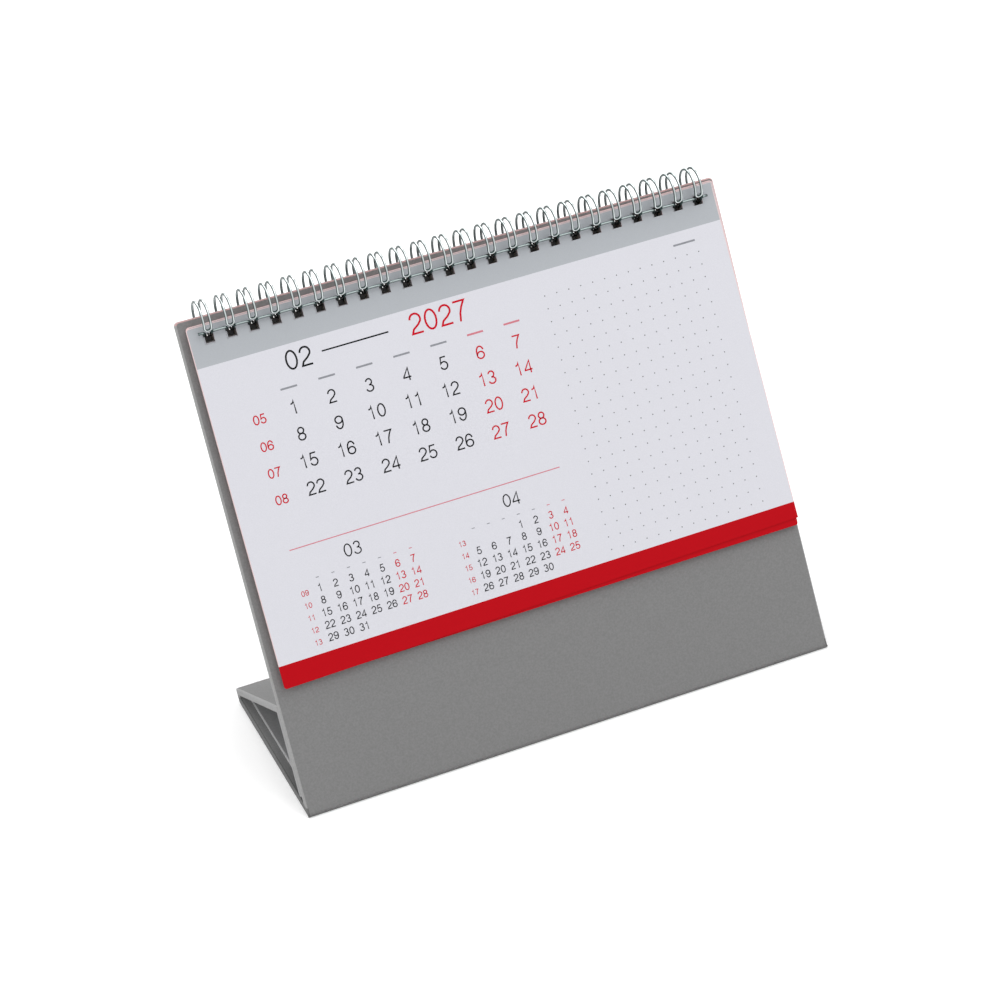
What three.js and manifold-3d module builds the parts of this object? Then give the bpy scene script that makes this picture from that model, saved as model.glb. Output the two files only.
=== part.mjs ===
// Wire-bound desk calendar on a wrapped greyboard easel, in millimetres, +Z up.
// X runs along the calendar, Y from front to back. The origin is the middle of the base's underside.
import * as THREE from "three";
import { mergeVertices } from "three/addons/utils/BufferGeometryUtils.js";
import Module from "manifold-3d";

const wasm = await Module();
wasm.setup();

// Driving dimensions of the easel
const standWidth = 214;
const panelHeight = 186; // along the slope, from the front foot to the top edge
const baseDepth = 77.5;
const rearEdge = 6; // along the slope: the rear edges of the base and the ledge, one on the other
const lean = THREE.MathUtils.degToRad(28); // from upright, towards the back

// Driving dimensions of its materials
const boardThickness = 2;
const coverThickness = 0.35;
const liningThickness = 0.25;
const glueGap = 0.1;
const foldGap = 0.3; // left between two boards at a fold
const turnIn = 15; // cover folded over onto the inner face
const liningMargin = 3.5; // cover left showing round the lining
const edgeRadius = 0.5;
const footRadius = 0.8;

// Driving dimensions of the pad
const sheetWidth = 210;
const sheetHeight = 134.4;
const sheetThickness = 0.13;
const sheetSpacing = 0.05; // air between two sheets
const frontGap = 0.15; // more of it behind the first sheet, which is turned most often and lies less flat
const sheetTopMargin = 2.4; // from the panel's top edge down to the sheet's
const sheetCorner = 2;
const sheetOffset = 0.2; // the pad is bound this far right of the panel's middle
const padTurn = THREE.MathUtils.degToRad(0.5); // its slack on the wire lets it hang a little lower at the left
const sheetNames = [
  "february", "march", "april", "may", "june", "july",
  "august", "september", "october", "november", "december",
];

// Driving dimensions of the binding
const loopCount = 24;
const loopPitch = 8.467; // three loops to the inch
const loopOffset = 0.6;
const holeSize = 4;
const slotHeight = 1.8; // of the wire's slots in the back lining, which closes the rest of each hole
const punchReach = 10; // past both faces of the panel and the pad
const holeMargin = 5.1; // from the sheet's top edge to the hole's middle
const wireRadius = 0.475;
const loopRadius = 6.8; // of the wire's centre line
const loopRise = 6.5; // from the hole's middle up to the loop's centre
const loopDepth = 0.4; // of the loop's centre behind the panel's front face
const legSpacing = 2.6; // between the two legs of one loop
const spineBend = 0.9;
const spineAngle = THREE.MathUtils.degToRad(-50); // below the level of the loop's centre, at the front
const tipAngle = THREE.MathUtils.degToRad(-44);
const spineEnd = 2.4; // the wire runs on this far past the first and the last leg
const wireSides = 5;
const legSteps = 11;
const bendSteps = 2;
const tipSteps = 4;

// Layers of one wrapped board, counted from its outer face
const boardFace = coverThickness + glueGap;
const boardBack = boardFace + boardThickness;
const turnInFace = boardBack + glueGap;
const wrapDepth = turnInFace + coverThickness;
const liningFace = wrapDepth + glueGap;
const linedDepth = liningFace + liningThickness;
const skinMiddle = coverThickness / 2;

// Depths behind the panel's front face, and heights up its slope
const rearDepth = baseDepth * Math.cos(lean);
const ledgeHeight = baseDepth * Math.sin(lean) + rearEdge;
const flapFront = linedDepth + glueGap;
const flapBack = flapFront + wrapDepth;
const tunnelFront = flapBack + glueGap;
const ledgeLow = ledgeHeight - wrapDepth;
const flapFoot = heightAt(flapBack, linedDepth + foldGap);
const panelFoot = heightAt(boardBack, boardFace);
const sheetTop = panelHeight - sheetTopMargin;
const sheetBottom = sheetTop - sheetHeight;
const holeHeight = sheetTop - holeMargin;
const loopHeight = holeHeight + loopRise;
const liningReach = (liningFace + linedDepth) / 2 - loopDepth;
const slotMiddle = loopHeight - Math.sqrt(loopRadius ** 2 - liningReach ** 2);

// The base lies flat, so it is measured from the front foot
const frontFoot = -baseDepth / 2;
const baseBoardFront = frontFoot + wrapDepth / Math.cos(lean) + boardBack * Math.tan(lean) + foldGap;
const baseBoardRear = frontFoot + baseDepth - boardFace / Math.cos(lean);

const halfWidth = standWidth / 2;
const boardHalf = halfWidth - boardFace;
const liningHalf = halfWidth - liningMargin;

// A point of the leaning section as [Y, Z]: so far up the slope, so far behind the front face.
function onSlope(height, depth) {
  return [
    frontFoot + height * Math.sin(lean) + depth * Math.cos(lean),
    height * Math.cos(lean) - depth * Math.sin(lean),
  ];
}

// How far up the slope a plane at this depth stands at this level above the table.
function heightAt(depth, level) {
  return (level + depth * Math.sin(lean)) / Math.cos(lean);
}

// How deep behind the front face a plane at this height meets this level above the table.
function depthAt(height, level) {
  return (height * Math.cos(lean) - level) / Math.sin(lean);
}

// A rectangle of the leaning section, as corner points in [Y, Z].
function leaningRectangle(low, high, front, back) {
  return [onSlope(low, front), onSlope(low, back), onSlope(high, back), onSlope(high, front)];
}

function flatRectangle(front, rear, low, high) {
  return [[front, low], [rear, low], [rear, high], [front, high]];
}

function shapeOf(points) {
  return new THREE.Shape(points.map(([a, b]) => new THREE.Vector2(a, b)));
}

// A [Y, Z] outline drawn out along X.
function alongX(shape, left, right) {
  const geometry = new THREE.ExtrudeGeometry(shape, { depth: right - left, bevelEnabled: false });
  const turn = new THREE.Matrix4().makeBasis(
    new THREE.Vector3(0, 1, 0),
    new THREE.Vector3(0, 0, 1),
    new THREE.Vector3(1, 0, 0),
  );
  return geometry.applyMatrix4(turn).translate(left, 0, 0);
}

// An outline in X and height stood up in the leaning frame, from one depth to another.
function standing(shape, front, back) {
  const geometry = new THREE.ExtrudeGeometry(shape, { depth: back - front, bevelEnabled: false, curveSegments: 3 });
  return geometry.rotateX(Math.PI / 2).translate(0, back, 0);
}

const leanMatrix = new THREE.Matrix4()
  .makeTranslation(0, frontFoot, 0)
  .multiply(new THREE.Matrix4().makeRotationX(-lean));

// The part's geometry as a solid that can be joined and cut.
function solidOf(geometry) {
  const bare = geometry.index ? geometry.toNonIndexed() : geometry.clone();
  bare.deleteAttribute("normal");
  bare.deleteAttribute("uv");
  const merged = mergeVertices(bare, 1e-4);
  return new wasm.Manifold(
    new wasm.Mesh({
      numProp: 3,
      vertProperties: new Float32Array(merged.attributes.position.array),
      triVerts: new Uint32Array(merged.index.array),
    }),
  );
}

function geometryOf(solid) {
  const mesh = solid.getMesh();
  const geometry = new THREE.BufferGeometry();
  geometry.setAttribute("position", new THREE.BufferAttribute(mesh.vertProperties, mesh.numProp));
  geometry.setIndex(new THREE.BufferAttribute(mesh.triVerts, 1));
  geometry.computeVertexNormals();
  return geometry;
}

// A path with each inner corner rounded to its radius, in a few short chords.
function roundedPath(points, radii, steps) {
  const path = [points[0]];
  for (let i = 1; i < points.length - 1; i++) {
    const corner = new THREE.Vector2(...points[i]);
    const before = new THREE.Vector2(...points[i - 1]).sub(corner).normalize();
    const after = new THREE.Vector2(...points[i + 1]).sub(corner).normalize();
    const half = Math.acos(before.dot(after)) / 2;
    const centre = before.clone().add(after).normalize().multiplyScalar(radii[i - 1] / Math.sin(half)).add(corner);
    const start = before.clone().multiplyScalar(radii[i - 1] / Math.tan(half)).add(corner).sub(centre);
    const turn = Math.PI - 2 * half;
    const way = Math.sign(after.x * before.y - after.y * before.x);
    for (let step = 0; step <= steps; step++) {
      const arm = start.clone().rotateAround(new THREE.Vector2(), (way * turn * step) / steps);
      path.push([centre.x + arm.x, centre.y + arm.y]);
    }
  }
  path.push(points[points.length - 1]);
  return path;
}

// A path given a thickness on its left, as one closed outline.
function ribbon(path, thickness) {
  const inner = path.map((point, i) => {
    const ahead = path[Math.min(i + 1, path.length - 1)];
    const behind = path[Math.max(i - 1, 0)];
    const arriving = new THREE.Vector2(point[0] - behind[0], point[1] - behind[1]);
    const leaving = new THREE.Vector2(ahead[0] - point[0], ahead[1] - point[1]);
    if (i === 0) arriving.copy(leaving);
    if (i === path.length - 1) leaving.copy(arriving);
    const first = new THREE.Vector2(-arriving.y, arriving.x).normalize();
    const second = new THREE.Vector2(-leaving.y, leaving.x).normalize();
    const mitre = first.clone().add(second).normalize();
    const reach = thickness / mitre.dot(first);
    return [point[0] + mitre.x * reach, point[1] + mitre.y * reach];
  });
  return [...path, ...inner.reverse()];
}

function roundedRectangle(left, right, low, high, radius) {
  const shape = new THREE.Shape();
  shape.moveTo(left + radius, low);
  shape.lineTo(right - radius, low);
  shape.absarc(right - radius, low + radius, radius, -Math.PI / 2, 0, false);
  shape.lineTo(right, high - radius);
  shape.absarc(right - radius, high - radius, radius, 0, Math.PI / 2, false);
  shape.lineTo(left + radius, high);
  shape.absarc(left + radius, high - radius, radius, Math.PI / 2, Math.PI, false);
  shape.lineTo(left, low + radius);
  shape.absarc(left + radius, low + radius, radius, Math.PI, 1.5 * Math.PI, false);
  return shape;
}

function loopX(loop) {
  return loopOffset + (loop - (loopCount - 1) / 2) * loopPitch;
}

// The row of holes as one solid in the leaning frame, deep enough to pass through whatever is punched.
function punchRow(middle, height) {
  let row = null;
  for (let loop = 0; loop < loopCount; loop++) {
    const left = loopX(loop) - holeSize / 2;
    const outline = rectangle(left, left + holeSize, middle - height / 2, middle + height / 2);
    const pin = solidOf(standing(outline, -punchReach, punchReach));
    row = row ? row.add(pin) : pin;
  }
  return row;
}

function punched(geometry) {
  return geometryOf(solidOf(geometry).subtract(punchRow(holeHeight, holeSize)));
}

function slotted(geometry) {
  return geometryOf(solidOf(geometry).subtract(punchRow(slotMiddle, slotHeight)));
}

function rectangle(left, right, low, high) {
  return shapeOf([[left, low], [right, low], [right, high], [left, high]]);
}

// The outer covering: one sheet pasted over the four boards and folded over every edge.
function coverGeometry() {
  const corners = [
    onSlope(panelHeight - turnIn, wrapDepth),
    onSlope(panelHeight, wrapDepth),
    onSlope(panelHeight, 0),
    onSlope(0, 0),
    [frontFoot + baseDepth, 0],
    onSlope(ledgeHeight, rearDepth),
    onSlope(ledgeHeight, flapFront),
    onSlope(flapFoot, flapFront),
  ];
  const radii = [edgeRadius, edgeRadius, footRadius, footRadius, edgeRadius, edgeRadius];
  const path = roundedPath(corners, radii, 3);
  let cover = solidOf(alongX(shapeOf(ribbon(path, coverThickness)), -halfWidth, halfWidth));

  const baseFront = frontFoot + wrapDepth / Math.cos(lean);
  const baseRear = frontFoot + baseDepth - skinMiddle / Math.cos(lean);
  const edges = [
    leaningRectangle(panelFoot, panelHeight - skinMiddle, skinMiddle, wrapDepth),
    leaningRectangle(flapFoot, ledgeHeight - skinMiddle, flapFront + skinMiddle, flapBack),
    leaningRectangle(ledgeLow, ledgeHeight - skinMiddle, flapBack - skinMiddle, rearDepth - skinMiddle),
    flatRectangle(baseFront, baseRear, skinMiddle, wrapDepth),
  ];
  const turnIns = [
    leaningRectangle(panelFoot, panelHeight - skinMiddle, turnInFace, wrapDepth),
    leaningRectangle(flapFoot, ledgeHeight - skinMiddle, flapFront + turnInFace, flapBack),
    leaningRectangle(ledgeLow, ledgeLow + coverThickness, flapBack - skinMiddle, rearDepth - skinMiddle),
    flatRectangle(baseBoardFront, baseRear, turnInFace, wrapDepth),
  ];
  for (const side of [-1, 1]) {
    const outside = side * halfWidth;
    const span = (reach) => [outside, outside - side * reach].sort((a, b) => a - b);
    for (const edge of edges) cover = cover.add(solidOf(alongX(shapeOf(edge), ...span(coverThickness))));
    for (const strip of turnIns) cover = cover.add(solidOf(alongX(shapeOf(strip), ...span(turnIn))));
  }

  const punches = solidOf(geometryOf(punchRow(holeHeight, holeSize)).applyMatrix4(leanMatrix));
  return geometryOf(cover.subtract(punches));
}

// The inner lining: a paper tube that follows the three walls of the tunnel.
function tunnelLiningGeometry() {
  const triangle = (front, level, height) => [
    onSlope(heightAt(front, level), front),
    onSlope(height, depthAt(height, level)),
    onSlope(height, front),
  ];
  const shape = shapeOf(triangle(tunnelFront, liningFace, ledgeLow - glueGap));
  const inside = triangle(tunnelFront + liningThickness, linedDepth, ledgeLow - glueGap - liningThickness);
  shape.holes.push(shapeOf(inside));
  return alongX(shape, -liningHalf, liningHalf);
}

// The binding's path laid flat: X along the spine, and the way round the loop.
// It comes along the spine, goes down a leg and all the way round to the tip, and comes back the same way.
function flatWirePath() {
  const spine = spineAngle * loopRadius;
  const legStart = spine - spineBend;
  const halfLeg = legSpacing / 2;
  const tipStart = (tipAngle - 2 * Math.PI) * loopRadius + halfLeg;
  const leftLeg = [];
  for (let step = 0; step <= bendSteps; step++) {
    const turn = (Math.PI / 2) * (step / bendSteps);
    leftLeg.push([-halfLeg - spineBend + spineBend * Math.sin(turn), legStart + spineBend * Math.cos(turn)]);
  }
  for (let step = 1; step <= legSteps; step++) {
    leftLeg.push([-halfLeg, legStart + (tipStart - legStart) * (step / legSteps)]);
  }
  const tip = [];
  for (let step = 1; step < tipSteps; step++) {
    const turn = Math.PI * (step / tipSteps);
    tip.push([-halfLeg * Math.cos(turn), tipStart - halfLeg * Math.sin(turn)]);
  }
  const rightLeg = leftLeg.map(([x, way]) => [-x, way]).reverse();
  const path = [[loopX(0) - halfLeg - spineEnd, spine]];
  for (let loop = 0; loop < loopCount; loop++) {
    for (const [x, way] of [...leftLeg, ...tip, ...rightLeg]) path.push([x + loopX(loop), way]);
  }
  path.push([loopX(loopCount - 1) + halfLeg + spineEnd, spine]);
  return path;
}

// The wire's centre line and the direction out from the loop's centre, at each point of the path.
function wirePoints() {
  return flatWirePath().map(([x, way]) => {
    const angle = way / loopRadius;
    const out = new THREE.Vector3(0, -Math.cos(angle), Math.sin(angle));
    const centre = new THREE.Vector3(x, loopDepth, loopHeight).addScaledVector(out, loopRadius);
    return { centre, out };
  });
}

// The binding: one unbroken round wire, with a flat cap at each end.
function wireGeometry(points) {
  const positions = [];
  const faces = [];
  points.forEach(({ centre, out }, i) => {
    const ahead = points[Math.min(i + 1, points.length - 1)].centre;
    const behind = points[Math.max(i - 1, 0)].centre;
    const arriving = centre.clone().sub(behind).normalize();
    const leaving = ahead.clone().sub(centre).normalize();
    const tangent = arriving.add(leaving).normalize();
    const side = new THREE.Vector3().crossVectors(tangent, out).normalize();
    const up = new THREE.Vector3().crossVectors(side, tangent);
    for (let k = 0; k < wireSides; k++) {
      const turn = (2 * Math.PI * k) / wireSides;
      const rim = centre.clone();
      rim.addScaledVector(up, wireRadius * Math.cos(turn));
      rim.addScaledVector(side, wireRadius * Math.sin(turn));
      positions.push(rim.x, rim.y, rim.z);
    }
  });
  const last = points.length - 1;
  for (let i = 0; i < last; i++) {
    for (let k = 0; k < wireSides; k++) {
      const a = i * wireSides + k;
      const b = i * wireSides + ((k + 1) % wireSides);
      faces.push(a, b, a + wireSides, b, b + wireSides, a + wireSides);
    }
  }
  for (let k = 1; k < wireSides - 1; k++) {
    faces.push(0, k + 1, k);
    faces.push(last * wireSides, last * wireSides + k, last * wireSides + k + 1);
  }
  const geometry = new THREE.BufferGeometry();
  geometry.setAttribute("position", new THREE.Float32BufferAttribute(positions, 3));
  geometry.setIndex(faces);
  geometry.computeVertexNormals();
  return geometry;
}

// The least air between two stretches of the wire that aren't next to each other along it.
function leastGap(points) {
  const fine = [];
  for (let i = 0; i < points.length - 1; i++) {
    const length = points[i].centre.distanceTo(points[i + 1].centre);
    const parts = Math.max(1, Math.ceil(length / 0.4));
    for (let part = 0; part < parts; part++) {
      const at = points[i].centre.clone().lerp(points[i + 1].centre, part / parts);
      fine.push({ at, along: (fine.at(-1)?.along ?? 0) + length / parts });
    }
  }
  const neighbour = Math.PI * (legSpacing / 2);
  let least = Infinity;
  fine.forEach(({ at, along }, i) => {
    for (let j = i + 1; j < fine.length && fine[j].at.x - at.x < loopPitch; j++) {
      if (fine[j].along - along > neighbour) least = Math.min(least, at.distanceTo(fine[j].at));
    }
  });
  return least - 2 * wireRadius;
}

function finish(color, roughness, metalness = 0) {
  return new THREE.MeshStandardMaterial({ color, roughness, metalness });
}

const greyboard = finish(0xa39c90, 0.95);
const coverPaper = finish(0x848484, 0.85);
const liningPaper = finish(0x6f6f70, 0.9);
const sheetPaper = finish(0xdedfe8, 0.7);
const silverWire = finish(0xc9cbcd, 0.3, 0.9);

function addMesh(parent, name, geometry, material) {
  const mesh = new THREE.Mesh(geometry, material);
  mesh.name = name;
  parent.add(mesh);
  return mesh;
}

const calendar = new THREE.Group();

// What stands on the slope is placed in the leaning frame: X, depth behind the front face, height up the slope.
const leaning = new THREE.Group();
leaning.position.y = frontFoot;
leaning.rotation.x = -lean;
calendar.add(leaning);

const panelBoardShape = rectangle(-boardHalf, boardHalf, panelFoot, panelHeight - boardFace);
addMesh(leaning, "front_board", punched(standing(panelBoardShape, boardFace, boardBack)), greyboard);

const flapBoardShape = rectangle(-boardHalf, boardHalf, flapFoot, ledgeHeight - boardFace);
addMesh(leaning, "flap_board", standing(flapBoardShape, flapFront + boardFace, flapFront + boardBack), greyboard);

const ledgeBoardShape = rectangle(-boardHalf, boardHalf, ledgeHeight - boardBack, ledgeHeight - boardFace);
addMesh(leaning, "ledge_board", standing(ledgeBoardShape, flapBack + foldGap, rearDepth - boardFace), greyboard);

const baseBoardOutline = flatRectangle(baseBoardFront, baseBoardRear, boardFace, boardBack);
addMesh(calendar, "base_board", alongX(shapeOf(baseBoardOutline), -boardHalf, boardHalf), greyboard);

addMesh(calendar, "cover_wrap", coverGeometry(), coverPaper);

const backLiningShape = rectangle(-liningHalf, liningHalf, flapFoot, panelHeight - liningMargin);
addMesh(leaning, "back_lining", slotted(standing(backLiningShape, liningFace, linedDepth)), liningPaper);

addMesh(calendar, "tunnel_lining", tunnelLiningGeometry(), liningPaper);

// The pad turns in the plane of the panel, about the middle of its row of holes.
const pad = new THREE.Group();
pad.position.set(loopOffset, 0, holeHeight);
pad.rotation.y = -padTurn;
leaning.add(pad);

// The last month lies nearest the panel, and the month that shows lies in front.
const sheetLeft = sheetOffset - sheetWidth / 2;
const sheetShape = roundedRectangle(sheetLeft, sheetLeft + sheetWidth, sheetBottom, sheetTop, sheetCorner);
sheetNames.forEach((month, i) => {
  const behind = sheetNames.length - 1 - i;
  const back = -glueGap - behind * (sheetThickness + sheetSpacing) - (i === 0 ? frontGap : 0);
  const sheet = punched(standing(sheetShape, back - sheetThickness, back));
  addMesh(pad, month + "_sheet", sheet.translate(-loopOffset, 0, -holeHeight), sheetPaper);
});

const wire = wirePoints();
addMesh(leaning, "wire_binding", wireGeometry(wire), silverWire);
console.log("least gap of the wire to itself:", leastGap(wire).toFixed(2), "mm");

export default calendar;
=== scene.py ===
# %% [markdown]
# # A wire-bound desk calendar
# The calendar is a pad of paper sheets hung by a wire binding on a folded board easel. The construction
# comes in as a fixed frame, with every piece at its real size and place. This notebook dresses that
# frame: it models the fine shapes and gives each piece its finish.

# %% Load the frame
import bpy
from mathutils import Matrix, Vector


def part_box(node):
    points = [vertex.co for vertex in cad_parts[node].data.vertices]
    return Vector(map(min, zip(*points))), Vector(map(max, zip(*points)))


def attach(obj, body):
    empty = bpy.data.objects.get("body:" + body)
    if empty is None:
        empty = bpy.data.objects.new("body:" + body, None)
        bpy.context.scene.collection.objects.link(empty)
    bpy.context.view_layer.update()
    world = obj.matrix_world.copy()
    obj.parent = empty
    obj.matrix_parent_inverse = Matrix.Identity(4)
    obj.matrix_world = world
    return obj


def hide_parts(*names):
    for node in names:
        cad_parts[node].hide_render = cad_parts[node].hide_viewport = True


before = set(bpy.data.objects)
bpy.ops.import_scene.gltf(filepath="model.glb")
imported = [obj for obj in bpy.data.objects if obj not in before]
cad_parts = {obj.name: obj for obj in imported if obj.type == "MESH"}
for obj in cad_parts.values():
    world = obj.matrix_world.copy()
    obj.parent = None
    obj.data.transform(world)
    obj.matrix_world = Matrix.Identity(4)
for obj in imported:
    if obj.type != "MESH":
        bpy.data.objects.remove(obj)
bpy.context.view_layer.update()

# %% Tools
import math

import bmesh
import bpy
from mathutils import Euler, Matrix, Vector

# %% [markdown]
# ## Measures
# Blender works in metres, and paper goods are measured in millimetres, so every size is written in
# millimetres and turned into metres by one factor. What the frame can say by itself is read from it: the
# half width of the easel, and the order of the sheets.

# %% Sizes of the easel
MM = 0.001
LEAN = math.radians(28)
BASE_DEPTH = 77.5 * MM
PANEL_HEIGHT = 186 * MM
REAR_EDGE = 6 * MM
WRAP = 2.9 * MM
SKIN = 0.35 * MM
TURN_IN = 15 * MM
FLAP_FRONT = 3.35 * MM
FLAP_GAP = 0.65 * MM
TUNNEL_STOP = 2.4 * MM
HALF_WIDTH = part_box("cover_wrap")[1].x
FRONT_FOOT = -BASE_DEPTH / 2
REAR_DEPTH = BASE_DEPTH * math.cos(LEAN)
LEDGE_HEIGHT = BASE_DEPTH * math.sin(LEAN) + REAR_EDGE
print("half width of the easel:", round(HALF_WIDTH / MM, 2), "mm")

# %% Sizes of the pad and its binding
SHEET_WIDTH = 209.4 * MM
SHEET_HEIGHT = 134.4 * MM
SHEET_THICKNESS = 0.13 * MM
SHEET_STEP = 0.18 * MM
FRONT_GAP = 0.15 * MM
SHEET_TOP_MARGIN = 2.4 * MM
SHEET_TOP = PANEL_HEIGHT - SHEET_TOP_MARGIN
SHEET_OFFSET = 0.5 * MM
SHEET_CORNER = 1 * MM
PAD_TURN = math.radians(0.5)
HEADER_LOW = 168.9 * MM
BAND_HIGH = 57.7 * MM
LOOPS = 24
LOOP_PITCH = 8.467 * MM
LOOP_OFFSET = 0.6 * MM
HOLE = 4 * MM
HOLE_MARGIN = 5.1 * MM
HOLE_HEIGHT = SHEET_TOP - HOLE_MARGIN
HALF_LEG = 1.3 * MM
MONTHS = [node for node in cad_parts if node.endswith("_sheet")]
MONTHS.sort(key=lambda node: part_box(node)[0].y)
print("sheets from front to back:", MONTHS)

# %% [markdown]
# ## Two working frames
# The panel leans back by 28 degrees, and everything on it is easier to draw upright: X along the
# calendar, Y behind the panel's front face and Z up its slope. One matrix leans the finished mesh back.
# The pad has a little slack on its wire and hangs half a degree out of square, so its pieces get one more
# small turn first.

# %% Leaning and turning
LEANING = Matrix.Translation((0, FRONT_FOOT, 0)) @ Matrix.Rotation(-LEAN, 4, "X")


def pad_frame(turn, shift=0.0):
    """The leaning frame, turned about the middle of the row of holes and shifted along it."""
    middle = Matrix.Translation((LOOP_OFFSET, 0, HOLE_HEIGHT))
    shifted = LEANING @ middle @ Matrix.Translation((shift, 0, 0))
    return shifted @ Matrix.Rotation(-turn, 4, "Y") @ middle.inverted()


def height_at(depth, level):
    """How far up the slope a plane at this depth stands at this level above the table."""
    return (level + depth * math.sin(LEAN)) / math.cos(LEAN)


def loop_x(loop):
    return LOOP_OFFSET + (loop - (LOOPS - 1) / 2) * LOOP_PITCH


# %% Making a piece from a bmesh
SAME_SPOT = 0.001 * MM
TOUCH = 0.02 * MM
SIDEWAYS = 0.5


def extruded(bm, offset):
    """Draws all faces out by an offset into a closed solid."""
    made = bmesh.ops.extrude_face_region(bm, geom=bm.faces[:])
    moved = [item for item in made["geom"] if isinstance(item, bmesh.types.BMVert)]
    bmesh.ops.translate(bm, verts=moved, vec=offset)
    bmesh.ops.recalc_face_normals(bm, faces=bm.faces[:])


def piece_from(bm, name, matrix, materials, body, replaced=()):
    """Leans the drawn mesh into place and makes it a piece that rides on a body."""
    bm.transform(matrix)
    mesh = bpy.data.meshes.new(name)
    bm.to_mesh(mesh)
    bm.free()
    for material in materials:
        mesh.materials.append(material)
    piece = bpy.data.objects.new(name, mesh)
    bpy.context.scene.collection.objects.link(piece)
    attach(piece, body)
    if replaced:
        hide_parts(*replaced)
    print(name, "has", len(mesh.polygons), "faces")
    return piece


# %% [markdown]
# ## Materials
# Every finish here is printed or raw paper, or lacquered wire. Paper shows its fibres as a faint mottling
# of the colour and a very fine bump. Both come from noise textures on Object coordinates, whose scale is
# set in features per metre, so that a fibre keeps its size on every sheet.

# %% Shared steps of a paper finish
def new_material(name, colour, roughness, gloss=0.5):
    material = bpy.data.materials.new(name)
    material.use_nodes = True
    shader = material.node_tree.nodes["Principled BSDF"]
    shader.inputs["Base Color"].default_value = (*colour, 1)
    shader.inputs["Roughness"].default_value = roughness
    shader.inputs["Specular IOR Level"].default_value = gloss
    return material, shader


def noise(material, scale, detail=4.0, stretch=(1, 1, 1)):
    nodes = material.node_tree.nodes
    links = material.node_tree.links
    place = nodes.new("ShaderNodeTexCoord")
    mapping = nodes.new("ShaderNodeMapping")
    mapping.inputs["Scale"].default_value = stretch
    texture = nodes.new("ShaderNodeTexNoise")
    texture.inputs["Scale"].default_value = scale
    texture.inputs["Detail"].default_value = detail
    links.new(place.outputs["Object"], mapping.inputs["Vector"])
    links.new(mapping.outputs["Vector"], texture.inputs["Vector"])
    return texture.outputs["Fac"]


def mottle(material, shader, value, dark, light, low=0.35, high=0.65):
    """Colours the surface between two tones by a noise value."""
    nodes = material.node_tree.nodes
    links = material.node_tree.links
    ramp = nodes.new("ShaderNodeValToRGB")
    ramp.color_ramp.elements[0].position = low
    ramp.color_ramp.elements[0].color = (*dark, 1)
    ramp.color_ramp.elements[1].position = high
    ramp.color_ramp.elements[1].color = (*light, 1)
    links.new(value, ramp.inputs["Fac"])
    links.new(ramp.outputs["Color"], shader.inputs["Base Color"])
    return ramp


def bump(material, shader, value, height, strength):
    nodes = material.node_tree.nodes
    links = material.node_tree.links
    relief = nodes.new("ShaderNodeBump")
    relief.inputs["Distance"].default_value = height
    relief.inputs["Strength"].default_value = strength
    links.new(value, relief.inputs["Height"])
    links.new(relief.outputs["Normal"], shader.inputs["Normal"])


def math_node(holder, operation, value=None):
    """A node that works on one value, or on two, of which the second may be fixed."""
    node = holder.node_tree.nodes.new("ShaderNodeMath")
    node.operation = operation
    if value is not None:
        node.inputs[1].default_value = value
    return node


def srgb(red, green, blue):
    """A colour given as it is read off a screen, 0 to 255, as the linear values that Blender wants."""
    def linear(part):
        part /= 255
        return part / 12.92 if part <= 0.04045 else ((part + 0.055) / 1.055) ** 2.4
    return (linear(red), linear(green), linear(blue))


def scaled(colour, factor):
    return tuple(part * factor for part in colour)


# %% [markdown]
# ### Covering paper
# The easel is wrapped in a matte grey covering paper with a fine embossed grain. The folds over the
# boards' edges get a paler copy of it, a painted highlight, and the end faces get another paler copy,
# painted light. Along the top and up the right side the folds get a rosy copy beside the pink edges of the
# pad: a painted highlight with a painted reflection of those edges. Low at the ends the paper is painted
# darker, a painted shade. The linings are the same kind of paper in greys of their own, and the tunnel's
# lining is painted lighter near its ends, a painted highlight along its edge.

# %% Covering paper
def toned_ends(material, shader, ramp, from_x, below_z, factor):
    """Paints light or shade into the paper: darker or lighter where it is far out along X and lower than a
    level.
    """
    nodes = material.node_tree.nodes
    links = material.node_tree.links
    place = nodes.new("ShaderNodeTexCoord")
    parts = nodes.new("ShaderNodeSeparateXYZ")
    outward = math_node(material, "ABSOLUTE")
    at_end = math_node(material, "GREATER_THAN", from_x)
    low_down = math_node(material, "LESS_THAN", below_z)
    both = math_node(material, "MULTIPLY")
    toned = nodes.new("ShaderNodeMix")
    toned.data_type = "RGBA"
    toned.blend_type = "MULTIPLY"
    toned.inputs["B"].default_value = (factor, factor, factor, 1)
    links.new(place.outputs["Object"], parts.inputs[0])
    links.new(parts.outputs["X"], outward.inputs[0])
    links.new(outward.outputs[0], at_end.inputs[0])
    links.new(parts.outputs["Z"], low_down.inputs[0])
    links.new(at_end.outputs[0], both.inputs[0])
    links.new(low_down.outputs[0], both.inputs[1])
    links.new(both.outputs[0], toned.inputs["Factor"])
    links.new(ramp.outputs["Color"], toned.inputs["A"])
    links.new(toned.outputs["Result"], shader.inputs["Base Color"])


# Painted shade: the lowest ends of the covering, next to the table, are darkened by this factor.
PAINTED_SHADE_FROM = HALF_WIDTH - 0.7 * MM
PAINTED_SHADE_BELOW = WRAP + 0.3 * MM
PAINTED_SHADE_FACTOR = 0.5
GRAINS_PER_METRE = 1400
GRAIN_HEIGHT = 0.12 * MM
GRAIN_DARK = 0.93
GRAIN_LIGHT = 1.07


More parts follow.
